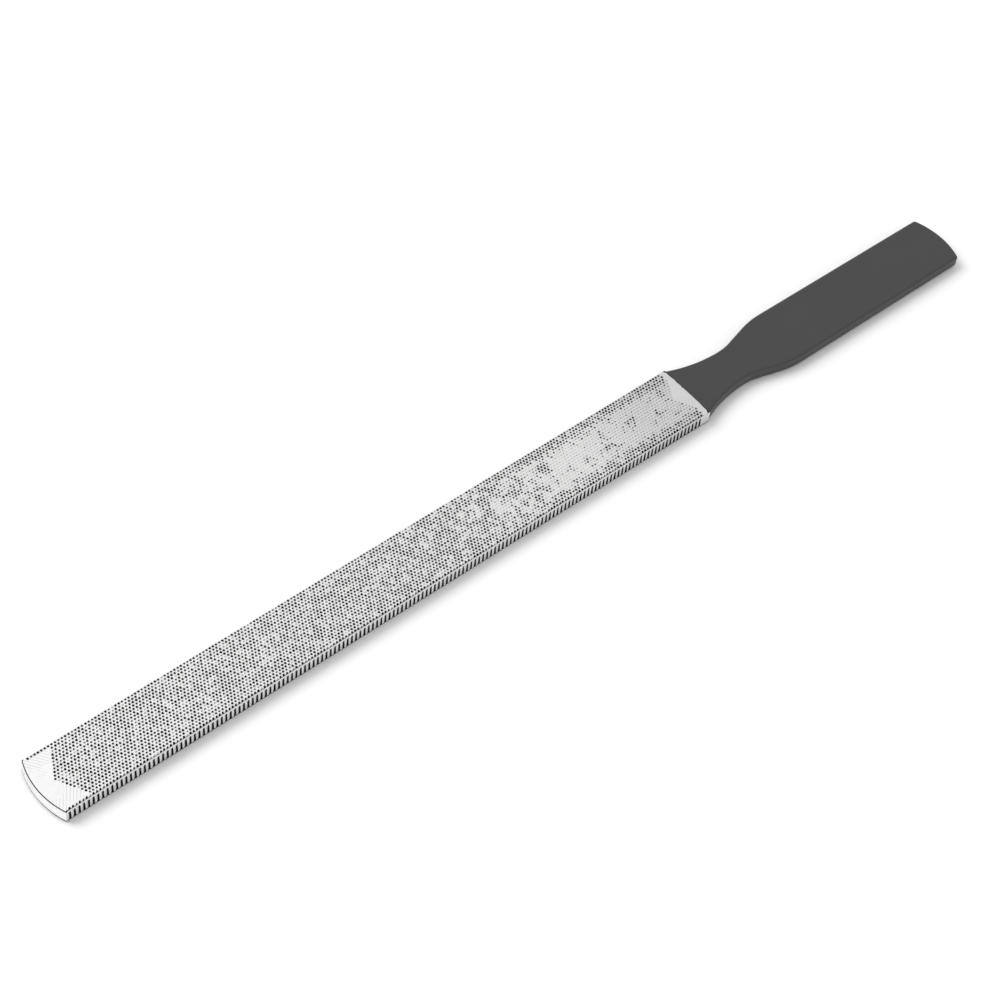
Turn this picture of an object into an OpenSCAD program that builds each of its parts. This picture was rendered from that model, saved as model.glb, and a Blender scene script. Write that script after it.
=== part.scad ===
// Farrier rasp: one forged steel bar, cut with teeth on its blade and drawn down
// to a flat tang, with a moulded vinyl sleeve bonded over the tang.
// The blade runs along X with its toe at -X and the handle at +X. The rasp cut
// faces +Z and the file cut faces -Z. The origin is under the middle of the
// object, on the surface that it lies on. All sizes are in millimetres.

/* [Blade] */
// Length of the blade, from the tip of the toe to the shoulder at the handle
blade_len = 305; // [200:1:400]
// Width across the cut edges at the toe
toe_w = 26.6; // [25:0.1:40]
// Width across the cut edges at the heel
heel_w = 26.6; // [25:0.1:40]
// Thickness over the teeth of both faces
blade_t = 6.4; // [6.4:0.1:10]
// Radius of the rounded toe
toe_r = 34; // [30:1:80]
// Size of the bevels along the edges of the blade
bevel = 0.4; // [0.3:0.1:0.8]

/* [Teeth] */
// Height of the rasp teeth above the steel face
rasp_rise = 0.4; // [0.2:0.05:0.6]
// Height of the file teeth above the steel face on the reverse
file_rise = 0.25; // [0.1:0.05:0.4]
// Height of the teeth on the two narrow edges
edge_rise = 0.25; // [0.1:0.05:0.4]
// Plain steel between the tip of the toe and the first tooth
toe_margin = 7.5; // [4:0.1:15]
// Plain steel between the last tooth on the centre line and the shoulder
heel_margin = 9; // [8.5:0.1:15]
// Slant of the first and last line of teeth, from square across the blade
chevron_angle = 30; // [0:1:30]

/* [Handle] */
// Length of the handle behind the shoulder
handle_len = 145; // [110:1:160]
// Thickness of the handle
handle_t = 5; // [4:0.1:5.4]
// Thickness of the vinyl over the tang
vinyl_t = 0.8; // [0.7:0.05:1]
// Radius of the long edges of the vinyl
vinyl_edge_r = 0.8; // [0.6:0.1:1.4]
// Width of the handle where it meets the shoulder
root_w = 26.2; // [22:0.1:26.5]
// Width of the handle at its waist
waist_w = 16.4; // [13:0.1:19]
// Distance from the shoulder to the waist
waist_at = 24.5; // [18:0.5:28]
// Radius of the waist on the side of the grip
waist_r = 27; // [15:1:40]
// Slope of the sides between the waist and the grip
flare_angle = 15; // [12:1:25]
// Radius where the sides turn into the grip
shoulder_r = 40; // [15:1:50]
// Width of the grip next to the waist
grip_w = 26.1; // [24:0.1:27]
// Width of the grip at its far end
end_w = 25.5; // [23:0.1:27]
// Radius of the rounded far end
end_r = 32; // [28:1:80]

/* [Hidden] */

// Places along X
toe_x = -(blade_len + handle_len) / 2;
shoulder_x = toe_x + blade_len;
end_x = shoulder_x + handle_len;

// Steel under the teeth
core_t = blade_t - rasp_rise - file_rise;
mid_z = file_rise + core_t / 2;
tang_t = handle_t - 2 * vinyl_t;
toe_segments = 180;
side_angle = atan((toe_w - heel_w) / 2 / blade_len);

// Outline of the handle, as half widths about its centre line
root_h = root_w / 2;
waist_h = waist_w / 2;
grip_h = grip_w / 2;
end_h = end_w / 2;
root_r = (pow(waist_at, 2) + pow(root_h - waist_h, 2)) / (2 * (root_h - waist_h));
flare_start = waist_at + waist_r * sin(flare_angle);
flare_start_h = waist_h + waist_r * (1 - cos(flare_angle));
flare_end_h = grip_h - shoulder_r * (1 - cos(flare_angle));
flare_end = flare_start + (flare_end_h - flare_start_h) / tan(flare_angle);
grip_start = flare_end + shoulder_r * sin(flare_angle);
end_sagitta = end_r - sqrt(pow(end_r, 2) - pow(end_h, 2));
side_end = handle_len - end_sagitta;
grip_taper = (grip_h - end_h) / (side_end - grip_start);

// Steps along the handle, round the edges of the vinyl and across its faces
curve_step = 2;
grip_steps = 5;
edge_steps = 4;
face_steps = 6;
// Angle that the edges of the far end turn through
end_turn = 80;

// Half width of the blade at a place along X
function blade_h(x) = (toe_w + (heel_w - toe_w) * (x - toe_x) / blade_len) / 2;

// Half width of the handle at a distance s from the shoulder, moved in by d
function handle_h(s, d = 0) =
    s < waist_at
        ? waist_h + root_r - sqrt(pow(root_r + d, 2) - pow(s - waist_at, 2))
    : s < flare_start + d * sin(flare_angle)
        ? waist_h + waist_r - sqrt(pow(waist_r + d, 2) - pow(s - waist_at, 2))
    : s < flare_end + d * sin(flare_angle)
        ? flare_start_h + (s - flare_start) * tan(flare_angle) - d / cos(flare_angle)
    : s < grip_start
        ? grip_h - shoulder_r + sqrt(pow(shoulder_r - d, 2) - pow(s - grip_start, 2))
    : grip_h - (s - grip_start) * grip_taper - d;

// How far a point at y falls short of the tip of a rounded end of radius r
function end_drop(y, r) = r - sqrt(pow(r, 2) - pow(y, 2));

// One side of the handle's outline, from the shoulder to the far end, moved in by d
function side_points(d) = concat(
    [for (s = [0 : curve_step : grip_start]) [s, handle_h(s, d)]],
    [[grip_start, handle_h(grip_start, d)], [side_end, handle_h(side_end, d)]]
);

// The rounded far end, moved in by d, from +Y to -Y
function end_points(d, h) = [
    for (i = [1 : 2 * face_steps - 1])
        let (y = h * (1 - i / face_steps))
        [handle_len - d - end_drop(y, end_r - d), y]
];

// Closed outline of the handle in its own XY, moved in by d
function handle_outline(d) =
    let (side = side_points(d), last = len(side) - 1)
    concat(
        side,
        end_points(d, side[last][1]),
        [for (i = [last : -1 : 0]) [side[i][0], -side[i][1]]]
    );

// A quarter arc of radius r about [y, z], that starts at the angle given
function quarter(y, z, r, start) = [
    for (k = [0 : edge_steps])
        let (a = start + 90 * k / edge_steps)
        [y + r * cos(a), z + r * sin(a)]
];

// Cross-section of the vinyl: a rectangle with rounded edges, as [y, z] points
function vinyl_section(h, shrink) =
    let (w = h - vinyl_edge_r, t = handle_t / 2 - vinyl_edge_r, r = vinyl_edge_r - shrink)
    concat(
        quarter(w, t, r, 0),
        [for (k = [1 : face_steps - 1]) [w - 2 * w * k / face_steps, t + r]],
        quarter(-w, t, r, 90),
        quarter(-w, -t, r, 180),
        [for (k = [1 : face_steps - 1]) [-w + 2 * w * k / face_steps, -t - r]],
        quarter(w, -t, r, 270)
    );

// Stations of the vinyl sleeve: [distance from the shoulder, loss of edge radius]
grip_end = side_end - vinyl_edge_r;
stations = concat(
    [for (s = [0 : curve_step : grip_start - 0.2]) [s, 0]],
    [for (i = [0 : grip_steps]) [grip_start + (grip_end - grip_start) * i / grip_steps, 0]],
    [for (k = [1 : edge_steps])
        let (a = end_turn * k / edge_steps)
        [grip_end + vinyl_edge_r * sin(a), vinyl_edge_r * (1 - cos(a))]]
);

// The rounded end bows each station forwards, more and more towards the far end
function bow(s, y) = (end_sagitta - end_drop(min(abs(y), end_h), end_r)) * pow(s / side_end, 4);

function station_points(station) = [
    for (p = vinyl_section(handle_h(station[0]), station[1]))
        [station[0] + bow(station[0], p[0]), p[0], p[1]]
];

// Blade without its teeth
module blade_core() {
    translate([0, 0, file_rise])
        linear_extrude(core_t)
            polygon([
                [toe_x, -blade_h(toe_x) + edge_rise],
                [shoulder_x, -blade_h(shoulder_x) + edge_rise],
                [shoulder_x, blade_h(shoulder_x) - edge_rise],
                [toe_x, blade_h(toe_x) - edge_rise]
            ]);
}

// Waste cut from the two edges at +Y to bevel them
module bevel_waste() {
    wide = 2 * bevel;
    for (face = [[file_rise, -1], [file_rise + core_t, 1]])
        translate([toe_x - wide, blade_h(toe_x), face[0]])
            rotate([0, 0, -side_angle])
                rotate([90, 0, 90])
                    linear_extrude(blade_len + 3 * wide)
                        polygon([
                            [wide, face[1] * wide],
                            [-bevel - wide, face[1] * wide],
                            [wide, -face[1] * (bevel + wide)]
                        ]);
}

// Everything in front of the rounded toe
module toe_waste() {
    difference() {
        translate([toe_x - 1, -toe_w, -1])
            cube([toe_r, 2 * toe_w, blade_t + 2]);
        translate([toe_x + toe_r, 0, -2])
            cylinder(r = toe_r, h = blade_t + 4, $fn = toe_segments);
    }
}

// The body of steel that the teeth of one face are raised from, inside the
// slanting first and last lines of teeth
module tooth_field(z, rise) {
    first = toe_x + toe_margin;
    last = shoulder_x - heel_margin;
    side = bevel + edge_rise;
    slant = (heel_w / 2 - side) * tan(chevron_angle);
    toe_h = blade_h(first + slant) - side;
    heel_h = blade_h(last + slant) - side;
    translate([0, 0, z])
        linear_extrude(rise)
            polygon([
                [first, 0],
                [first + slant, -toe_h],
                [last + slant, -heel_h],
                [last, 0],
                [last + slant, heel_h],
                [first + slant, toe_h]
            ]);
}

// The teeth along one narrow edge, on the side where y has the given sign
module edge_field(side) {
    from_x = toe_x + toe_margin / 2;
    to_x = shoulder_x - heel_margin / 3;
    inner = 2 * edge_rise;
    translate([0, 0, file_rise])
        linear_extrude(core_t)
            polygon([
                [from_x, side * (blade_h(from_x) - inner)],
                [from_x, side * blade_h(from_x)],
                [to_x, side * blade_h(to_x)],
                [to_x, side * (blade_h(to_x) - inner)]
            ]);
}

// The flat tang that the vinyl grips
module tang() {
    translate([shoulder_x, 0, mid_z - tang_t / 2])
        linear_extrude(tang_t)
            polygon(handle_outline(vinyl_t));
}

// The outside of the vinyl sleeve, as if it were solid
module vinyl_skin() {
    rings = [for (s = stations) station_points(s)];
    count = len(rings[0]);
    last = len(rings) - 1;
    // The point of the last ring straight below point k
    function end_pair(k) = last * count + count - 1 - k;
    translate([shoulder_x, 0, mid_z])
        polyhedron(
            points = [for (ring = rings) each ring],
            faces = concat(
                [[for (k = [0 : count - 1]) k]],
                [for (i = [0 : last - 1], k = [0 : count - 1])
                    [i * count + k, (i + 1) * count + k, (i + 1) * count + (k + 1) % count]],
                [for (i = [0 : last - 1], k = [0 : count - 1])
                    [i * count + k, (i + 1) * count + (k + 1) % count, i * count + (k + 1) % count]],
                [for (k = [0 : count / 2 - 2])
                    [last * count + k + 1, last * count + k, end_pair(k), end_pair(k + 1)]]
            )
        );
}

// Blade, teeth and tang: one forged bar of steel
module rasp_blank() {
    color("silver")
        union() {
            difference() {
                union() {
                    blade_core();
                    edge_field(1);
                    edge_field(-1);
                }
                toe_waste();
                bevel_waste();
                mirror([0, 1, 0])
                    bevel_waste();
            }
            tooth_field(file_rise + core_t, rasp_rise);
            tooth_field(0, file_rise);
            tang();
        }
}

// Vinyl sleeve, closed at its far end and bonded to the tang
module handle_sleeve() {
    color("dimgray")
        difference() {
            vinyl_skin();
            tang();
        }
}

rasp_blank();
handle_sleeve();
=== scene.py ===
import math
import random

import bmesh
import bpy
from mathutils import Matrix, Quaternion, Vector, geometry


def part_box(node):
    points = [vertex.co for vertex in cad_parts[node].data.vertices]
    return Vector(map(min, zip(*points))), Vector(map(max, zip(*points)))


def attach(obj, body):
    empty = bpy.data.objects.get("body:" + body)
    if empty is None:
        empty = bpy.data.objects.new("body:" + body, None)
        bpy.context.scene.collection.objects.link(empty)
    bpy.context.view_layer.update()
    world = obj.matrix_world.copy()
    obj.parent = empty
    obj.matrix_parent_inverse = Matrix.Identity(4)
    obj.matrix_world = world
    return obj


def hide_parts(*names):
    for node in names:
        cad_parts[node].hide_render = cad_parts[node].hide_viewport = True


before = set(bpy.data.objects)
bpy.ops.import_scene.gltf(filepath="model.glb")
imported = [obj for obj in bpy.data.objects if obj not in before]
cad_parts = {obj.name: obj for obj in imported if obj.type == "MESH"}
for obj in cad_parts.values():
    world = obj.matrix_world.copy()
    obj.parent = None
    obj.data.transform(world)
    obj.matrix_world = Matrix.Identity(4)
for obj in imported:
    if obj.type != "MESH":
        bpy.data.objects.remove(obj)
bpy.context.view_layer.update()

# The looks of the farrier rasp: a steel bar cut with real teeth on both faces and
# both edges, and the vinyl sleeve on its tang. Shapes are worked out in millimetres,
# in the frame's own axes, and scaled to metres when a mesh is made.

MM = 0.001
SEED = 7


def in_mm(corners):
    """The two corners of a box, in millimetres."""
    return [corner / MM for corner in corners]


blank_low, blank_high = in_mm(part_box("rasp_blank"))
sleeve_low, sleeve_high = in_mm(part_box("handle_sleeve"))

# Places along X
TOE_X = blank_low.x
SHOULDER_X = sleeve_low.x
END_X = sleeve_high.x
BLADE_LEN = SHOULDER_X - TOE_X
HANDLE_LEN = END_X - SHOULDER_X

# Blade
HALF_W = blank_high.y
TOE_R = 34.0
TOP_Z = blank_high.z
RASP_RISE = 0.4
FILE_RISE = 0.25
FACE_Z = TOP_Z - RASP_RISE
BACK_Z = FILE_RISE
MID_Z = (FACE_Z + BACK_Z) / 2
TOE_STEPS = 48
HEEL_STEPS = 24

# The bevels round both faces. At the toe and the heel a painted dark line lies along them,
# which fades over RIM_LINE: painted shade along the toe's rim and where the steel meets the
# sleeve
BEVEL = 0.3
RIM_LINE = 0.4
RIM_SHADE = 1.0

# Rasp teeth: staggered rows that run along the blade, with one row on the centre line
ROW_PITCH = 1.24
TOOTH_PITCH = 1.41
STEP = TOOTH_PITCH / 2
TEETH = 206
FIRST_TOOTH = TOE_X + 7.75

# The outermost row on each side runs the whole length. Teeth stay at least these distances
# from the toe's corner and from the shoulder. The outer corners of the row's cells, which
# reach past EDGE_LIMIT or to within CORNER_SLACK of it, are moved onto it
EDGE_ROW = 10
EDGE_ROW_START = 1.2
EDGE_ROW_END = 3.2
EDGE_LIMIT = HALF_W - BEVEL - 0.05
CORNER_SLACK = 0.15

# File teeth on the reverse: diamonds between two sets of crossing cuts
DIAMOND_A = 0.82
DIAMOND_B = 0.62
DIAMOND_LEAN = 0.35
FILE_FIRST = TOE_X + 7.5
FILE_LAST = SHOULDER_X - 9.0
FILE_EDGE = 0.15
CHEVRON = math.tan(math.radians(30))

# Teeth along the two narrow edges, which lean towards the toe at the top
EDGE_PITCH = 1.945
EDGE_DEPTH = 0.45
EDGE_FIRST = TOE_X + 2.9
EDGE_LAST = SHOULDER_X - 3.0
EDGE_LEAN = math.tan(math.radians(2))

# One edge tooth and the slot behind it, as (run, depth, darkness): runs are shares of
# EDGE_PITCH and depths shares of EDGE_DEPTH. The slots are painted dark, as residue and painted
# shade
EDGE_TOOTH = (
    (0.0, 0.0, 0.0),
    (0.32, 0.025, 0.0),
    (0.32, 0.5, 0.75),
    (0.18, 1.0, 1.0),
    (0.09, 1.0, 1.0),
)

# The four rails that the narrow edges are built on, from the top down: their heights,
# the share of a slot's depth that they follow, how much they rise with it, and how dark
# they are painted along the sides and round the toe: painted shade along the foot, where the
# blade meets the floor
SLOT_TOP = FACE_Z - BEVEL - 1.1
SLOT_FOOT = BACK_Z + BEVEL + 0.4
SIDE_Z = (FACE_Z - BEVEL, SLOT_TOP, SLOT_FOOT, BACK_Z + BEVEL)
SIDE_SHARE = (0.0, 1.0, 1.0, 0.5)
SIDE_RISE = (0.0, 0.0, 0.0, -1.0)
SIDE_FOOT_SHADE = (0.0, 0.0, 0.45, 1.0)
TOE_FOOT_SHADE = (0.0, 0.0, 0.5, 1.0)
TOP_RAIL = 0
BOTTOM_RAIL = 3

# Handle: thicknesses (_T), half widths (_H), radii (_R) and places from the shoulder on
HANDLE_T = 5.0
VINYL_T = 0.8
VINYL_R = 0.8
TANG_R = 0.15
ROOT_H = 13.1
WAIST_H = 8.2
WAIST_AT = 24.5
WAIST_R = 27.0
FLARE = math.radians(15)
SHOULDER_R = 40.0
GRIP_H = sleeve_high.y
END_H = 12.75
END_R = 32.0

# How many degrees the last rings roll over the far end
END_TURN = 80.0

# The rings of the handle: their spacing up to the grip and along it, and the first ones at
# the shoulder, as (distance, how far the section is drawn in), with a rounded lip or blunt
RING_STEP = 1.0
GRIP_STEP = 3.0
LIP = ((0.0, 0.16), (0.1, 0.06), (0.25, 0.0))
BLUNT = ((0.0, 0.0),)

# How sharply the rings bow towards the rounded far end
BOW_POWER = 4

# Points round each corner of a ring, and across each of its faces
VINYL_TURNS = 6
VINYL_ACROSS = 24
TANG_TURNS = 2
TANG_ACROSS = 8

# How delaunay_2d_cdt joins points: only inside the outline, and as one when this close
INSIDE_ONLY = 1
SAME_PLACE = 1e-6


def add_object(name, data):
    """A new object in the scene."""
    made = bpy.data.objects.new(name, data)
    bpy.context.scene.collection.objects.link(made)
    return made


class Shell:
    """The points, faces and values per point of one closed mesh, in millimetres."""

    def __init__(self):
        self.points = []
        self.faces = []
        self.shade_and_residue = []

    def point(self, x, y, z, shade_and_residue=0.0):
        self.points.append((x, y, z))
        self.shade_and_residue.append(shade_and_residue)
        return len(self.points) - 1

    def face(self, *corners):
        self.faces.append(corners)

    def strip(self, lower, upper, closed=False):
        """Quads between two chains with the same number of points."""
        count = len(lower)
        for i in range(count if closed else count - 1):
            j = (i + 1) % count
            self.face(lower[i], lower[j], upper[j], upper[i])

    def zip(self, lower, upper):
        """Triangles between two chains of (place, point), in order of place."""
        i, j = 0, 0
        while i < len(lower) - 1 or j < len(upper) - 1:
            step_lower = j == len(upper) - 1 or (
                i < len(lower) - 1 and lower[i + 1][0] <= upper[j + 1][0]
            )
            if step_lower:
                self.face(lower[i][1], lower[i + 1][1], upper[j][1])
                i += 1
            else:
                self.face(lower[i][1], upper[j + 1][1], upper[j][1])
                j += 1

    def build(self, name):
        """The mesh object, with its faces turned outwards."""
        mesh = bpy.data.meshes.new(name)
        mesh.from_pydata([Vector(p) * MM for p in self.points], [], self.faces)
        # How dark each point is painted: residue and painted shade
        values = mesh.attributes.new("shade_and_residue", "FLOAT", "POINT")
        values.data.foreach_set("value", self.shade_and_residue)
        mesh.validate()
        turn_outwards(mesh)
        return add_object(name, mesh)


def turn_outwards(mesh):
    work = bmesh.new()
    work.from_mesh(mesh)
    bmesh.ops.recalc_face_normals(work, faces=work.faces)
    work.to_mesh(mesh)
    work.free()


# ---------------------------------------------------------------- outline of the blade


def arc_end(half, radius):
    """How far the end of an arc lies behind its tip."""
    return radius - math.sqrt(radius * radius - half * half)


def toe_arc(half, inset):
    """Points of the rounded toe from -Y to +Y, moved in by inset."""
    top = math.asin(half / TOE_R)
    points = []
    for i in range(TOE_STEPS + 1):
        angle = top * (2 * i / TOE_STEPS - 1)
        points.append((TOE_X + inset + TOE_R * (1 - math.cos(angle)), TOE_R * math.sin(angle)))
    return points


def slot_profile():
    """Places and depths of the edge teeth between the toe and the heel: (x, depth, darkness of
    residue and painted shade).
    """
    count = int((EDGE_LAST - EDGE_FIRST) / EDGE_PITCH)
    points = []
    for i in range(count):
        x = EDGE_FIRST + i * EDGE_PITCH
        for run, depth, shade_and_residue in EDGE_TOOTH:
            x += run * EDGE_PITCH
            points.append((x, depth * EDGE_DEPTH, shade_and_residue))
    points.append((EDGE_FIRST + count * EDGE_PITCH, 0.0, 0.0))
    return points


# ---------------------------------------------------------------- rasp teeth

# One tooth: the pit that the punch leaves, and the tooth that it throws up behind it, as
# (along, across, height, darkness of residue and painted shade) in millimetres. The pit is on
# the side of the toe.
PIT_FRONT = (-0.52, 0.0, 0.0, 0.85)
PIT_SIDE = (-0.26, 0.3, 0.0, 0.95)
PIT_LIP = (0.03, 0.38, 0.05, 0.85)
PIT_FLOOR = (-0.24, 0.0, -0.26, 1.0)
PIT_ROOT = (-0.02, 0.16, -0.38, 1.0)
TIP_SIDE = (0.13, 0.2, 0.31, 0.35)
TIP = (0.18, 0.0, 0.4, 0.25)
BACK_SIDE = (0.42, 0.27, 0.03, 0.0)
BACK = (0.6, 0.0, 0.0, 0.0)

# How far the two corners of a cell that lie across the blade are from its centre
ACROSS = 0.8204

# How teeth differ: the spread of their places, and the ranges of height, width and the darkness
# of residue and painted shade in their pits
ALONG_SPREAD = 0.04
ACROSS_SPREAD = 0.015
TALL = (0.82, 1.0)
WIDE = (0.9, 1.06)
DIRT_AND_SHADE = (0.48, 1.15)
# Painted shade on the outer corners at -Y, the side away from the key lamp
NEAR_EDGE_SHADE = 0.95


class Field:
    """Cells that repeat over a face, which share their corners."""

    def __init__(self, shell):
        self.shell = shell
        self.cells = set()
        self.corners = {}
        self.edges = set()
        self.flat = {}

    def corner(self, key, x, y, z, shade_and_residue):
        if key not in self.corners:
            point = self.shell.point(x, y, z, shade_and_residue)
            self.corners[key] = point
            self.flat[point] = (x, y)
        return self.corners[key]

    def outline(self, ring):
        """Notes the edges of one cell. An edge between two cells cancels out."""
        for i, start in enumerate(ring):
            end = ring[(i + 1) % len(ring)]
            if (end, start) in self.edges:
                self.edges.remove((end, start))
            else:
                self.edges.add((start, end))


def rasp_corner(field, column, row, side):
    """The corner of a cell that is on the side given. The outer ones at -Y are painted dark:
    painted shade on the side away from the key lamp.
    """
    x = FIRST_TOOTH + column * STEP
    y = row * ROW_PITCH + side * ACROSS
    outer = abs(y) > EDGE_LIMIT - CORNER_SLACK
    if outer:
        y = math.copysign(EDGE_LIMIT, y)
    shade_and_residue = NEAR_EDGE_SHADE if outer and y < 0 else 0.0
    return field.corner((column, row, side), x, y, FACE_Z, shade_and_residue)


def rasp_tooth(field, column, row, dice):
    """One pit and its tooth, in a six-sided cell."""
    field.cells.add((column, row))
    ring = [
        rasp_corner(field, column + 1, row + 1, -1),
        rasp_corner(field, column, row, 1),
        rasp_corner(field, column - 1, row + 1, -1),
        rasp_corner(field, column - 1, row - 1, 1),
        rasp_corner(field, column, row, -1),
        rasp_corner(field, column + 1, row - 1, 1),
    ]
    field.outline(ring)
    centre_x = FIRST_TOOTH + column * STEP + dice.gauss(0, ALONG_SPREAD)
    centre_y = row * ROW_PITCH + dice.gauss(0, ACROSS_SPREAD)
    tall = dice.uniform(*TALL)
    wide = dice.uniform(*WIDE)
    dirt_and_shade = dice.uniform(*DIRT_AND_SHADE)

    def put(part, side=0):
        u, v, z, shade_and_residue = part
        x, y = centre_x + u, centre_y + side * v * wide
        return field.shell.point(x, y, FACE_Z + z * tall, shade_and_residue * dirt_and_shade)

    front, floor, tip, back = put(PIT_FRONT), put(PIT_FLOOR), put(TIP), put(BACK)
    roots = []
    halves = ((1, ring[0], ring[1], ring[2]), (-1, ring[5], ring[4], ring[3]))
    for side, right, top, left in halves:
        pit, lip, root = put(PIT_SIDE, side), put(PIT_LIP, side), put(PIT_ROOT, side)
        crest, foot = put(TIP_SIDE, side), put(BACK_SIDE, side)
        roots.append(root)
        for corners in (
            (front, pit, left),
            (pit, top, left),
            (pit, lip, top),
            (lip, right, top),
            (lip, foot, right),
            (foot, back, right),
            (lip, crest, foot),
            (crest, tip, foot),
            (tip, back, foot),
            (root, crest, lip),
            (root, tip, crest),
            (root, lip, pit),
            (root, pit, floor),
            (floor, pit, front),
        ):
            field.shell.face(*(corners if side > 0 else reversed(corners)))
    upper, lower = roots
    field.shell.face(front, ring[2], ring[3])
    field.shell.face(back, ring[5], ring[0])
    field.shell.face(lower, tip, upper)
    field.shell.face(lower, upper, floor)


def in_rasp_cell(field, x, y):
    """Whether a place lies in a cell that holds a tooth."""
    if abs(y) > EDGE_LIMIT:
        return False
    across = y / ROW_PITCH
    best, found = math.inf, None
    for row in (math.floor(across), math.floor(across) + 1):
        column = row % 2 + 2 * round(((x - FIRST_TOOTH) / STEP - row % 2) / 2)
        away = math.hypot(x - FIRST_TOOTH - column * STEP, y - row * ROW_PITCH)
        if away < best:
            best, found = away, (column, row)
    return found in field.cells


def rasp_field(shell):
    """The teeth start and end in a chevron, but the outermost rows run the whole length."""
    field = Field(shell)
    dice = random.Random(SEED)
    first = TOE_X + arc_end(HALF_W, TOE_R) + EDGE_ROW_START
    last = SHOULDER_X - EDGE_ROW_END
    for row in range(-EDGE_ROW, EDGE_ROW + 1):
        more = EDGE_ROW if abs(row) == EDGE_ROW else 0
        for i in range(-more, TEETH + more):
            column = 2 * i + abs(row)
            if first < FIRST_TOOTH + column * STEP < last:
                rasp_tooth(field, column, row, dice)
    return field


# ---------------------------------------------------------------- file teeth

# How diamonds differ: the spread of their places, and the ranges of height and of the darkness
# of residue and painted shade in their cuts
FILE_SPREAD = 0.02
FILE_TALL = (0.8, 1.0)
FILE_DIRT_AND_SHADE = (0.6, 1.0)


def groove_shade_and_residue(field, column, row):
    """Residue and painted shade darken the cuts where four diamonds meet, but not those round
    the field.
    """
    around = ((column + 1, row), (column - 1, row), (column, row + 1), (column, row - 1))
    return 1.0 if all(cell in field.cells for cell in around) else 0.0


def file_tooth(field, column, row, dice):
    """One diamond between the crossing cuts of the reverse."""
    ring = []
    for step, side in ((1, 0), (0, 1), (-1, 0), (0, -1)):
        key = (column + step, row + side)
        x = FILE_FIRST + key[0] * DIAMOND_A
        shade_and_residue = groove_shade_and_residue(field, *key) * dice.uniform(*FILE_DIRT_AND_SHADE)
        ring.append(field.corner(key, x, key[1] * DIAMOND_B, BACK_Z, shade_and_residue))
    field.outline(ring)
    x = FILE_FIRST + (column - DIAMOND_LEAN) * DIAMOND_A
    y = row * DIAMOND_B + dice.gauss(0, FILE_SPREAD)
    top = field.shell.point(x, y, BACK_Z - FILE_RISE * dice.uniform(*FILE_TALL))
    for i in range(4):
        field.shell.face(ring[i], ring[(i + 1) % 4], top)


def in_file_cell(field, x, y):
    """Whether a place lies in a diamond."""
    u = (x - FILE_FIRST) / DIAMOND_A
    v = y / DIAMOND_B
    p = round((u + v) / 2)
    q = round((u - v) / 2)
    return (p + q, p - q) in field.cells


def file_field(shell):
    """The diamonds start and end in a chevron, as the rasp teeth do."""
    field = Field(shell)
    dice = random.Random(SEED + 1)
    rows = int((HALF_W - BEVEL - FILE_EDGE) / DIAMOND_B) - 1
    columns = int((FILE_LAST - FILE_FIRST + HALF_W) / DIAMOND_A)
    cells = []
    for row in range(-rows, rows + 1):
        slant = abs(row) * DIAMOND_B * CHEVRON
        for column in range(columns):
            x = column * DIAMOND_A
            inside = slant <= x <= FILE_LAST - FILE_FIRST + slant
            if (column + row) % 2 == 0 and inside:
                cells.append((column, row))
    field.cells.update(cells)
    for column, row in cells:
        file_tooth(field, column, row, dice)
    return field


# ---------------------------------------------------------------- plain steel round the teeth


def fill_face(shell, field, rim, inside, in_cell, z):
    """Plain steel between the rim of a face and the cells of teeth on it. The rim is a
    closed ring of (x, y, point), and inside are the places of extra points that are not painted
    dark."""
    places = [Vector((x, y)) for x, y, _ in rim]
    names = [point for _, _, point in rim]
    known = {point: i for i, point in enumerate(names)}
    edges = []
    for start, end in sorted(field.edges):
        for point in (start, end):
            if point not in known:
                known[point] = len(places)
                places.append(Vector(field.flat[point]))
                names.append(point)
        edges.append((known[start], known[end]))
    for x, y in inside:
        places.append(Vector((x, y)))
        names.append(shell.point(x, y, z))
    outline = [list(range(len(rim)))]
    found = geometry.delaunay_2d_cdt(places, edges, outline, INSIDE_ONLY, SAME_PLACE)
    flat, faces, origins = found[0], found[2], found[3]
    for corners in faces:
        centre = sum((flat[i] for i in corners), Vector((0, 0))) / 3
        if not in_cell(field, centre.x, centre.y):
            shell.face(*[names[origins[i][0]] for i in corners])


# ---------------------------------------------------------------- outline of the handle

ROOT_R = (WAIST_AT ** 2 + (ROOT_H - WAIST_H) ** 2) / (2 * (ROOT_H - WAIST_H))
FLARE_START = WAIST_AT + WAIST_R * math.sin(FLARE)
FLARE_START_H = WAIST_H + WAIST_R * (1 - math.cos(FLARE))
FLARE_END_H = GRIP_H - SHOULDER_R * (1 - math.cos(FLARE))
FLARE_END = FLARE_START + (FLARE_END_H - FLARE_START_H) / math.tan(FLARE)
GRIP_START = FLARE_END + SHOULDER_R * math.sin(FLARE)
SIDE_END = HANDLE_LEN - arc_end(END_H, END_R)
GRIP_TAPER = (GRIP_H - END_H) / (SIDE_END - GRIP_START)


def handle_h(s, d=0.0):
    """Half width of the handle at a distance s from the shoulder, moved in by d."""
    if s < WAIST_AT:
        return WAIST_H + ROOT_R - math.sqrt((ROOT_R + d) ** 2 - (s - WAIST_AT) ** 2)
    if s < FLARE_START + d * math.sin(FLARE):
        return WAIST_H + WAIST_R - math.sqrt((WAIST_R + d) ** 2 - (s - WAIST_AT) ** 2)
    if s < FLARE_END + d * math.sin(FLARE):
        return FLARE_START_H + (s - FLARE_START) * math.tan(FLARE) - d / math.cos(FLARE)
    if s < GRIP_START:
        return GRIP_H - SHOULDER_R + math.sqrt((SHOULDER_R - d) ** 2 - (s - GRIP_START) ** 2)
    return GRIP_H - (s - GRIP_START) * GRIP_TAPER - d


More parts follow.
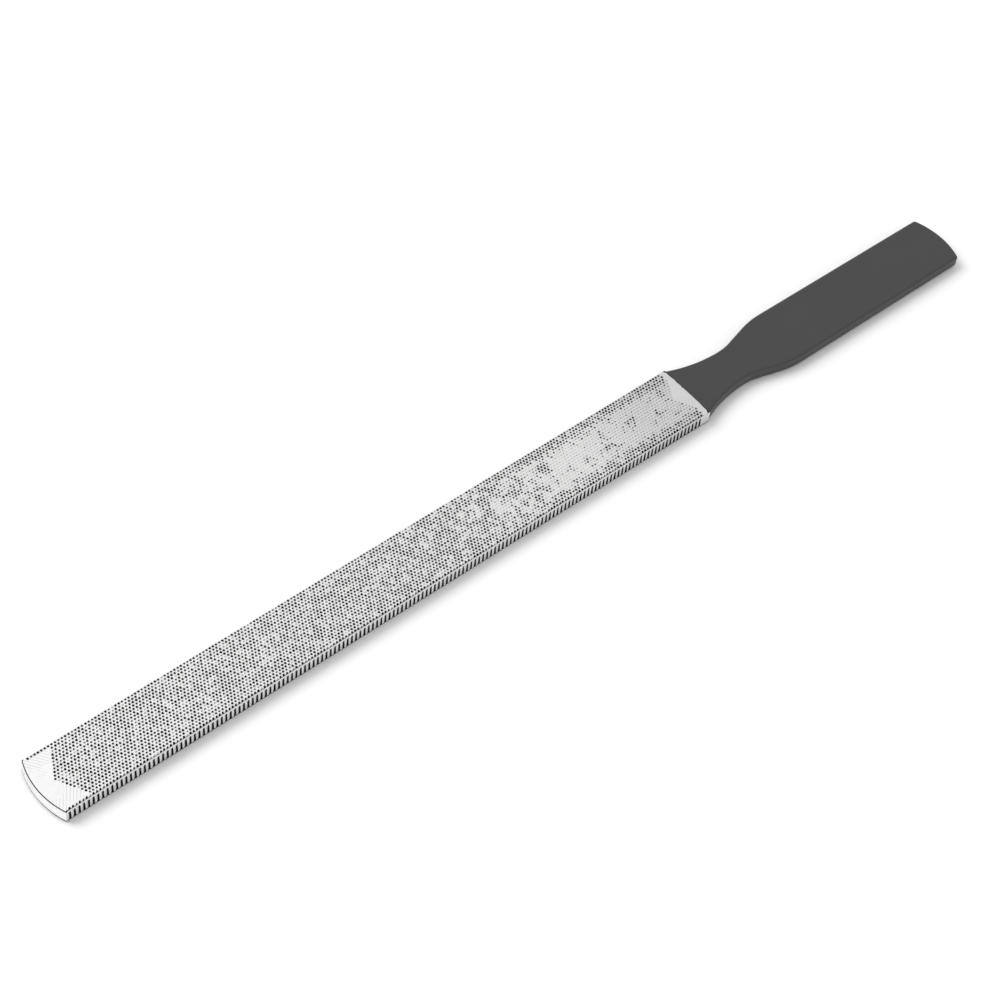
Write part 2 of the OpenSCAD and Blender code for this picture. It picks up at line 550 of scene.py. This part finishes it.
def section(half_w, half_t, radius, shrink, turns, across):
    """A rectangle with rounded corners, as (y, z): turns round each corner and across points
    between them on the wide sides. shrink takes from the radius, as the end rolls over."""
    inner_w, inner_t, rim = half_w - radius, half_t - radius, radius - shrink
    points = []
    for corner, (side_y, side_z) in enumerate(((1, 1), (-1, 1), (-1, -1), (1, -1))):
        for k in range(turns + 1):
            angle = math.radians(90 * (corner + k / turns))
            y = side_y * inner_w + rim * math.cos(angle)
            z = side_z * inner_t + rim * math.sin(angle)
            points.append((y, z))
        if corner in (0, 2):
            for k in range(1, across):
                y = side_y * inner_w * (1 - 2 * k / across)
                points.append((y, side_z * (inner_t + rim)))
    return points


def bow(s, y, d):
    """The rounded far end bows each ring forwards, more and more towards the end."""
    radius = END_R - d
    half = min(abs(y), END_H - d)
    rise = arc_end(END_H - d, radius) - arc_end(half, radius)
    return rise * (s / SIDE_END) ** BOW_POWER


def handle_rings(shell, d, radius, turns, across, front):
    """Rings of points along the handle, moved in by d, with edges of that radius. front is the
    list of (distance, how far the section is drawn in) for the rings at the shoulder. The last
    rings keep the width of the grip's end and roll over its edge."""
    half_t = HANDLE_T / 2 - d
    last = SIDE_END - radius

    def ring(s, pull, end_h=None, shrink=0.0):
        half_w = (handle_h(s, d) if end_h is None else end_h) - pull
        points = section(half_w, half_t - pull, radius, shrink, turns, across)
        return [shell.point(SHOULDER_X + s + bow(s, y, d), y, MID_Z + z) for y, z in points]

    rings = [ring(s, pull) for s, pull in front]
    s = front[-1][0] + RING_STEP
    while s < last - RING_STEP / 2:
        rings.append(ring(s, 0.0))
        s += RING_STEP if s < GRIP_START else GRIP_STEP
    rings.append(ring(last, 0.0))
    for k in range(1, turns + 1):
        angle = math.radians(END_TURN * k / turns)
        shrink = radius * (1 - math.cos(angle))
        rings.append(ring(last + radius * math.sin(angle), 0.0, handle_h(last, d), shrink))
    return rings


def skin(shell, rings):
    """Closes the space between rings, and the far end with a strip across it."""
    for lower, upper in zip(rings, rings[1:]):
        shell.strip(lower, upper, closed=True)
    end = rings[-1]
    count = len(end)
    for k in range(count // 2 - 1):
        shell.face(end[k], end[k + 1], end[count - 2 - k], end[count - 1 - k])


# ---------------------------------------------------------------- the steel piece


def side_rails(shell, side):
    """The four rails along one narrow edge, from the toe to the heel, as lists of (x, point)."""
    corner_x = TOE_X + arc_end(HALF_W, TOE_R)
    profile = [(corner_x, 0.0, 0.0)] + slot_profile() + [(SHOULDER_X, 0.0, 0.0)]
    rails = []
    for z, rise, share, foot_shade in zip(SIDE_Z, SIDE_RISE, SIDE_SHARE, SIDE_FOOT_SHADE):
        rail = []
        for i, (x, depth, shade_and_residue) in enumerate(profile):
            ends = i in (0, len(profile) - 1)
            at = x if ends else x + (MID_Z - z) * EDGE_LEAN
            cut = depth * share
            # The darker of the rail's painted foot shade and the slot's residue and shade
            worst = max(foot_shade, shade_and_residue * share)
            point = shell.point(at, side * (HALF_W - cut), z + rise * cut, worst)
            rail.append((at, point))
        rails.append(rail)
    return rails


def face_rim(shell, z):
    """The inner edge of the bevels round one face, as lists of (x, y, point): the toe from -Y
    to +Y, the +Y side towards the heel, the heel from +Y to -Y and the -Y side."""
    edge = HALF_W - BEVEL
    toe = []
    # The toe and heel ends of the rim carry a painted dark line of shade
    for x, y in toe_arc(edge, BEVEL):
        toe.append((x, y, shell.point(x, y, z, RIM_SHADE)))
    heel_x = SHOULDER_X - BEVEL
    start = toe[0][0]
    count = int((heel_x - start) / TOOTH_PITCH)
    sides = []
    for side in (1, -1):
        places = [start + (heel_x - start) * i / count for i in range(1, count)]
        sides.append([(x, side * edge, shell.point(x, side * edge, z)) for x in places])
    heel = []
    for i in range(HEEL_STEPS + 1):
        y = edge * (1 - 2 * i / HEEL_STEPS)
        heel.append((heel_x, y, shell.point(heel_x, y, z, RIM_SHADE)))
    return toe, sides[0], heel, sides[1]


def rim_inside():
    """Places just inside the toe and heel ends of a rim, which keep its painted dark line thin.
    """
    edge = HALF_W - BEVEL - RIM_LINE
    places = toe_arc(edge, BEVEL + RIM_LINE)[1:-1]
    heel_x = SHOULDER_X - BEVEL - RIM_LINE
    return places + [(heel_x, edge * (1 - 2 * i / HEEL_STEPS)) for i in range(1, HEEL_STEPS)]


def steel_faces(shell):
    """Both faces with their teeth. Gives the rims of the rasp face and of the reverse."""
    top = rasp_field(shell)
    back = file_field(shell)
    top_rim = face_rim(shell, FACE_Z)
    back_rim = face_rim(shell, BACK_Z)
    for field, rim, in_cell, z in (
        (top, top_rim, in_rasp_cell, FACE_Z),
        (back, back_rim, in_file_cell, BACK_Z),
    ):
        toe, plus, heel, minus = rim
        ring = toe[::-1] + minus + heel[::-1] + plus[::-1]
        fill_face(shell, field, ring, rim_inside(), in_cell, z)
    return top_rim, back_rim


def steel_sides(shell):
    """The narrow edges and the end of the toe. Gives the rails of the sides, by side and
    level, and of the toe and the heel, by level."""
    rails = {side: side_rails(shell, side) for side in (1, -1)}
    toe_rails = []
    # The lower rails round the toe carry painted shade along the foot
    for level, z in enumerate(SIDE_Z):
        row = [shell.point(x, y, z, TOE_FOOT_SHADE[level]) for x, y in toe_arc(HALF_W, 0.0)[1:-1]]
        toe_rails.append([rails[-1][level][0][1]] + row + [rails[1][level][0][1]])
    for level in range(BOTTOM_RAIL):
        shell.strip(toe_rails[level], toe_rails[level + 1])
        for side in (1, -1):
            upper, lower = rails[side][level], rails[side][level + 1]
            shell.strip([p for _, p in upper], [p for _, p in lower])

    # The end of the blade is painted dark too: painted shade where it meets the sleeve
    heel_rails = {}
    for level in (TOP_RAIL, BOTTOM_RAIL):
        row = []
        for i in range(1, HEEL_STEPS):
            y = HALF_W * (1 - 2 * i / HEEL_STEPS)
            row.append(shell.point(SHOULDER_X, y, SIDE_Z[level], RIM_SHADE))
        heel_rails[level] = [rails[1][level][-1][1]] + row + [rails[-1][level][-1][1]]
    return rails, toe_rails, heel_rails


def steel_bevels(shell, rim, level, rails, toe_rail, heel_rail):
    """The bevels between the rim of one face and the rails on that level."""
    toe, plus, heel, minus = rim
    shell.strip([p for _, _, p in toe], toe_rail)
    shell.strip([p for _, _, p in heel], heel_rail)
    edges = ((1, [toe[-1]] + plus + [heel[0]]), (-1, [toe[0]] + minus + [heel[-1]]))
    for side, edge in edges:
        shell.zip([(x, p) for x, _, p in edge], rails[side][level])


def heel_face(shell, rails, heel_rails, hole_ring):
    """The end of the blade at the shoulder, with a hole where the tang starts."""
    ends = {side: [rail[-1][1] for rail in rails[side]] for side in (1, -1)}
    ring = heel_rails[TOP_RAIL] + ends[-1][1:BOTTOM_RAIL]
    ring += heel_rails[BOTTOM_RAIL][::-1] + ends[1][1:BOTTOM_RAIL][::-1]
    names = ring + hole_ring
    places = [Vector(shell.points[p][1:]) for p in names]
    first, count = len(ring), len(hole_ring)
    hole = [(first + i, first + (i + 1) % count) for i in range(count)]
    outline = [list(range(first))]
    found = geometry.delaunay_2d_cdt(places, hole, outline, INSIDE_ONLY, SAME_PLACE)
    for corners in found[2]:
        origins = [found[3][i][0] for i in corners]
        if min(origins) < first:
            shell.face(*[names[i] for i in origins])


def steel_piece():
    shell = Shell()
    top_rim, back_rim = steel_faces(shell)
    rails, toe_rails, heel_rails = steel_sides(shell)
    for rim, level in ((top_rim, TOP_RAIL), (back_rim, BOTTOM_RAIL)):
        steel_bevels(shell, rim, level, rails, toe_rails[level], heel_rails[level])
    tang = handle_rings(shell, VINYL_T, TANG_R, TANG_TURNS, TANG_ACROSS, BLUNT)
    skin(shell, tang)
    heel_face(shell, rails, heel_rails, tang[0])
    return shell.build("steel_bar")


# ---------------------------------------------------------------- the vinyl piece


def vinyl_piece():
    shell = Shell()
    outer = handle_rings(shell, 0.0, VINYL_R, VINYL_TURNS, VINYL_ACROSS, LIP)
    skin(shell, outer)
    inner = handle_rings(shell, VINYL_T, TANG_R, VINYL_TURNS, VINYL_ACROSS, BLUNT)
    skin(shell, inner)
    shell.strip(outer[0], inner[0], closed=True)
    return shell.build("vinyl_sleeve")


# ---------------------------------------------------------------- materials


def grey(value, warm=0.0):
    """A grey of that brightness, with more red and less blue where it is warm."""
    return (value * (1 + warm), value, value * (1 - warm), 1.0)


# Colours. A pair is the darkest and the lightest of a cloudy surface
STEEL_GREYS = (grey(0.89, 0.004), grey(0.98, 0.002))
# Painted shade near the heel
HEEL_SHADE_GREY = grey(0.72)
MARK_GREY = grey(0.55)
# Near black for residue and painted shade
SHADE_AND_RESIDUE_GREY = grey(0.018, 0.03)
VINYL_GREYS = (grey(0.04), grey(0.048))
FLOOR_GREYS = (grey(0.93), grey(0.95))

# Noise patterns, as (scale, detail, roughness)
PATCH_NOISE = (150.0, 4.0, 0.7)
SHADE_NOISE = (420.0, 4.0, 0.5)
MARK_NOISE = (160.0, 2.0, 0.5)
SCRATCH_NOISE = (1.0, 3.0, 0.7)
CLOUD_NOISE = (60.0, 3.0, 0.5)
GRAIN_NOISE = (2600.0, 2.0, 0.5)
FLOOR_NOISE = (3.0, 2.0, 0.5)

# Residue and painted shade show where their value, less the fading, passes from the first value
# to the second
SHADE_AND_RESIDUE_SPAN = (0.43, 0.65)

# The painted dark of residue and shade fades out in patches, where the noise passes the span on
# the next line. There are more of them towards the heel, and none near the edges or on the
# underside. Places are in millimetres
FADE_SPAN = (0.6, 0.76)
FADE_ALONG = (TOE_X + 150, SHOULDER_X - 45)
FADE_AT_HEEL = 0.24
FADE_ACROSS = (HALF_W - 7, HALF_W - 3)
FADE_UP = (MID_Z, FACE_Z - 1)
FADE_MOST = 0.65

# Painted shade: the steel is painted darker near the heel
HEEL_SHADE_ALONG = (SHOULDER_X - 60, SHOULDER_X - 15)
HEEL_SHADE_MOST = 0.6

# Grinding marks: their spacing, how they slant as shares of X and of the distance from the
# centre line, where they show in millimetres, and how thick, broken and dark they are
MARK_PITCH = 1.15
MARK_SLANT = (0.81, 0.58)
MARK_FROM_MIDDLE = (BLADE_LEN / 2 - 15, BLADE_LEN / 2 - 11)
MARK_ACROSS = (1.5, 5.0)
MARK_WAVE = (0.4, 1.0)
MARK_GAPS = (0.4, 0.6)
MARK_DARK = 0.5

# Fine scratches on the steel, and the grain of the vinyl, which both vary the roughness
SCRATCH_STRETCH = (900.0, 5200.0, 900.0)
SCRATCH_TURN = math.radians(60)
FINE_RANGE = (0.3, 0.7)
STEEL_ROUGH = (0.28, 0.42)
SHADE_AND_RESIDUE_ROUGH = 0.3
VINYL_ROUGH = (0.4, 0.52)
VINYL_SPECULAR = 0.4

# Bumps, as (height in metres, strength)
SCRATCH_BUMP = (0.00002, 0.6)
GRAIN_BUMP = (0.00003, 0.5)


class Nodes:
    """Short names for the nodes of one material."""

    def __init__(self, name):
        self.material = bpy.data.materials.new(name)
        self.material.use_nodes = True
        self.tree = self.material.node_tree
        self.shader = self.tree.nodes["Principled BSDF"]
        self.place = self.node("ShaderNodeTexCoord").outputs["Object"]

    def node(self, kind, **settings):
        made = self.tree.nodes.new(kind)
        for key, value in settings.items():
            setattr(made, key, value)
        return made

    def link(self, source, target):
        self.tree.links.new(source, target)

    def feed(self, source, name):
        """Links a node's output to an input of the shader."""
        self.link(source, self.shader.inputs[name])

    def set(self, socket, value):
        """Links an output to the socket, or gives the socket a plain value."""
        if hasattr(value, "is_output"):
            self.link(value, socket)
        else:
            socket.default_value = value

    def stretched(self, scale, turn):
        """Places scaled along each axis and turned about Z."""
        mapping = self.node("ShaderNodeMapping")
        self.link(self.place, mapping.inputs["Vector"])
        mapping.inputs["Scale"].default_value = scale
        mapping.inputs["Rotation"].default_value = (0.0, 0.0, turn)
        return mapping.outputs["Vector"]

    def noise(self, scale, detail, rough, at=None):
        made = self.node("ShaderNodeTexNoise")
        self.link(self.place if at is None else at, made.inputs["Vector"])
        made.inputs["Scale"].default_value = scale
        made.inputs["Detail"].default_value = detail
        made.inputs["Roughness"].default_value = rough
        return made.outputs["Fac"]

    def ramp(self, value, span, start=0.0, end=1.0):
        """Goes smoothly from start to end as the value crosses the span."""
        made = self.node("ShaderNodeMapRange", interpolation_type="SMOOTHSTEP")
        self.set(made.inputs["Value"], value)
        made.inputs["From Min"].default_value = span[0]
        made.inputs["From Max"].default_value = span[1]
        made.inputs["To Min"].default_value = start
        made.inputs["To Max"].default_value = end
        return made.outputs["Result"]

    def ramp_mm(self, value, span, start=0.0, end=1.0):
        """The same for a place, with the span in millimetres."""
        return self.ramp(value, (span[0] * MM, span[1] * MM), start, end)

    def math(self, what, first, second=0.0):
        made = self.node("ShaderNodeMath", operation=what)
        self.set(made.inputs[0], first)
        self.set(made.inputs[1], second)
        return made.outputs["Value"]

    def product(self, *values):
        """The values multiplied together, from the first on."""
        total = values[0]
        for value in values[1:]:
            total = self.math("MULTIPLY", total, value)
        return total

    def mix(self, share, first, second):
        made = self.node("ShaderNodeMix", data_type="RGBA")
        self.set(made.inputs["Factor"], share)
        colours = [s for s in made.inputs if s.type == "RGBA"]
        self.set(colours[0], first)
        self.set(colours[1], second)
        return next(s for s in made.outputs if s.type == "RGBA")

    def bump(self, height, distance, strength):
        made = self.node("ShaderNodeBump")
        self.link(height, made.inputs["Height"])
        made.inputs["Distance"].default_value = distance
        made.inputs["Strength"].default_value = strength
        return made.outputs["Normal"]


def fading_patches(nodes, along, off_centre, up):
    """How much of the painted dark of residue and shade fades out."""
    patches = nodes.noise(*PATCH_NOISE)
    near_heel = nodes.ramp_mm(along, FADE_ALONG, 0.0, FADE_AT_HEEL)
    faded = nodes.ramp(nodes.math("ADD", patches, near_heel), FADE_SPAN)
    middle = nodes.ramp_mm(off_centre, FADE_ACROSS, 1.0, 0.0)
    above = nodes.ramp_mm(up, FADE_UP, 0.0, FADE_MOST)
    return nodes.product(faded, middle, above)


def grinding_marks(nodes, along, off_centre):
    """Marks that slant in from both edges over the plain ends of the blade."""
    middle = (TOE_X + BLADE_LEN / 2) * MM
    from_middle = nodes.math("ABSOLUTE", nodes.math("SUBTRACT", along, middle))
    ends = nodes.ramp_mm(from_middle, MARK_FROM_MIDDLE)
    beside = nodes.ramp_mm(off_centre, MARK_ACROSS)
    slant_x = nodes.product(along, MARK_SLANT[0])
    slant_y = nodes.product(off_centre, MARK_SLANT[1])
    slant = nodes.math("ADD", slant_x, slant_y)
    wave = nodes.math("SINE", nodes.product(slant, 2 * math.pi / (MARK_PITCH * MM)))
    uneven = nodes.ramp(nodes.noise(*MARK_NOISE), MARK_GAPS)
    return nodes.product(nodes.ramp(wave, MARK_WAVE), ends, beside, uneven)


def steel_material():
    nodes = Nodes("rasp_steel")
    # Residue and painted shade, from the value that each point of the meshes carries
    shade_and_residue = nodes.node("ShaderNodeAttribute", attribute_name="shade_and_residue").outputs["Fac"]
    split = nodes.node("ShaderNodeSeparateXYZ")
    nodes.link(nodes.place, split.inputs["Vector"])
    along, up = split.outputs["X"], split.outputs["Z"]
    off_centre = nodes.math("ABSOLUTE", split.outputs["Y"])

    # Patches where the painted dark of residue and shade fades out
    fade = fading_patches(nodes, along, off_centre, up)
    dark = nodes.ramp(nodes.math("SUBTRACT", shade_and_residue, fade), SHADE_AND_RESIDUE_SPAN)
    marks = grinding_marks(nodes, along, off_centre)
    # Painted shade: darker towards the heel
    heel_shade = nodes.ramp_mm(along, HEEL_SHADE_ALONG, 0.0, HEEL_SHADE_MOST)
    shade = nodes.mix(nodes.noise(*SHADE_NOISE), *STEEL_GREYS)
    shade = nodes.mix(heel_shade, shade, HEEL_SHADE_GREY)
    shade = nodes.mix(nodes.product(marks, MARK_DARK), shade, MARK_GREY)
    nodes.feed(nodes.mix(dark, shade, SHADE_AND_RESIDUE_GREY), "Base Color")
    nodes.shader.inputs["Metallic"].default_value = 1.0

    at = nodes.stretched(SCRATCH_STRETCH, SCRATCH_TURN)
    scratches = nodes.noise(*SCRATCH_NOISE, at=at)
    bare = nodes.ramp(scratches, FINE_RANGE, *STEEL_ROUGH)
    nodes.feed(nodes.math("ADD", bare, nodes.product(dark, SHADE_AND_RESIDUE_ROUGH)), "Roughness")
    nodes.feed(nodes.bump(scratches, *SCRATCH_BUMP), "Normal")
    return nodes.material


def vinyl_material():
    nodes = Nodes("handle_vinyl")
    nodes.feed(nodes.mix(nodes.noise(*CLOUD_NOISE), *VINYL_GREYS), "Base Color")
    nodes.shader.inputs["Specular IOR Level"].default_value = VINYL_SPECULAR
    grain = nodes.noise(*GRAIN_NOISE)
    nodes.feed(nodes.ramp(grain, FINE_RANGE, *VINYL_ROUGH), "Roughness")
    nodes.feed(nodes.bump(grain, *GRAIN_BUMP), "Normal")
    return nodes.material


def floor_material():
    nodes = Nodes("pale_floor")
    nodes.feed(nodes.mix(nodes.noise(*FLOOR_NOISE), *FLOOR_GREYS), "Base Color")
    nodes.shader.inputs["Roughness"].default_value = 1.0
    nodes.shader.inputs["Specular IOR Level"].default_value = 0.0
    return nodes.material


# ---------------------------------------------------------------- camera, light and floor

# The camera looks at a point on the rasp face just short of the object's middle
LOOK_AT = Vector((-0.0151, 0.00195, TOP_Z * MM))
CAMERA_AZIMUTH = math.radians(-47.55)
CAMERA_ELEVATION = math.radians(51.31)
CAMERA_ROLL = math.radians(8.97)
CAMERA_DISTANCE = 1.0421
CAMERA_LENS = 100.0
CAMERA_SENSOR = 36.0

# The key casts the shadows. It isn't mirrored in the bare steel, which would turn white: a
# weaker lamp gives the steel its sheen. Each is (azimuth, elevation, size, power), with
# angles in radians, size in metres and power in watts
LAMP_DISTANCE = 3.0
KEY = (math.radians(212), math.radians(48), 2.2, 52.0)
SHEEN = (math.radians(162), math.radians(62), 2.0, 4.2)
WORLD_STRENGTH = 0.73
FLOOR_HALF = 8.0


def direction(azimuth, elevation):
    """Unit vector from the object towards a camera or lamp."""
    flat = math.cos(elevation)
    return Vector((math.sin(azimuth) * flat, -math.cos(azimuth) * flat, math.sin(elevation)))


def make_camera():
    data = bpy.data.cameras.new("camera")
    data.lens = CAMERA_LENS
    data.sensor_width = CAMERA_SENSOR
    camera = add_object("camera", data)
    back = direction(CAMERA_AZIMUTH, CAMERA_ELEVATION)
    camera.location = LOOK_AT + back * CAMERA_DISTANCE
    camera.rotation_mode = "QUATERNION"
    roll = Quaternion((0.0, 0.0, 1.0), CAMERA_ROLL)
    camera.rotation_quaternion = (-back).to_track_quat("-Z", "Y") @ roll
    bpy.context.scene.camera = camera


def make_lamp(name, azimuth, elevation, size, power):
    data = bpy.data.lights.new(name, "AREA")
    data.shape = "DISK"
    data.size = size
    data.energy = power
    lamp = add_object(name, data)
    away = direction(azimuth, elevation)
    lamp.location = away * LAMP_DISTANCE
    lamp.rotation_mode = "QUATERNION"
    lamp.rotation_quaternion = (-away).to_track_quat("-Z", "Y")
    return lamp


def make_light():
    world = bpy.data.worlds.new("studio")
    world.use_nodes = True
    background = world.node_tree.nodes["Background"]
    background.inputs["Color"].default_value = (1.0, 1.0, 1.0, 1.0)
    background.inputs["Strength"].default_value = WORLD_STRENGTH
    bpy.context.scene.world = world
    bpy.context.scene.view_settings.view_transform = "Standard"
    key = make_lamp("key", *KEY)
    key.visible_glossy = False
    make_lamp("sheen", *SHEEN)


def make_floor():
    far = FLOOR_HALF
    corners = [(-far, -far, 0.0), (far, -far, 0.0), (far, far, 0.0), (-far, far, 0.0)]
    mesh = bpy.data.meshes.new("floor")
    mesh.from_pydata(corners, [], [(0, 1, 2, 3)])
    mesh.materials.append(floor_material())
    add_object("floor", mesh)


# ---------------------------------------------------------------- assembly

steel = steel_piece()
steel.data.materials.append(steel_material())
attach(steel, "root")
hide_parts("rasp_blank")

vinyl = vinyl_piece()
vinyl.data.polygons.foreach_set("use_smooth", [True] * len(vinyl.data.polygons))
vinyl.data.materials.append(vinyl_material())
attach(vinyl, "root")
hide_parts("handle_sleeve")

make_camera()
make_light()
make_floor()
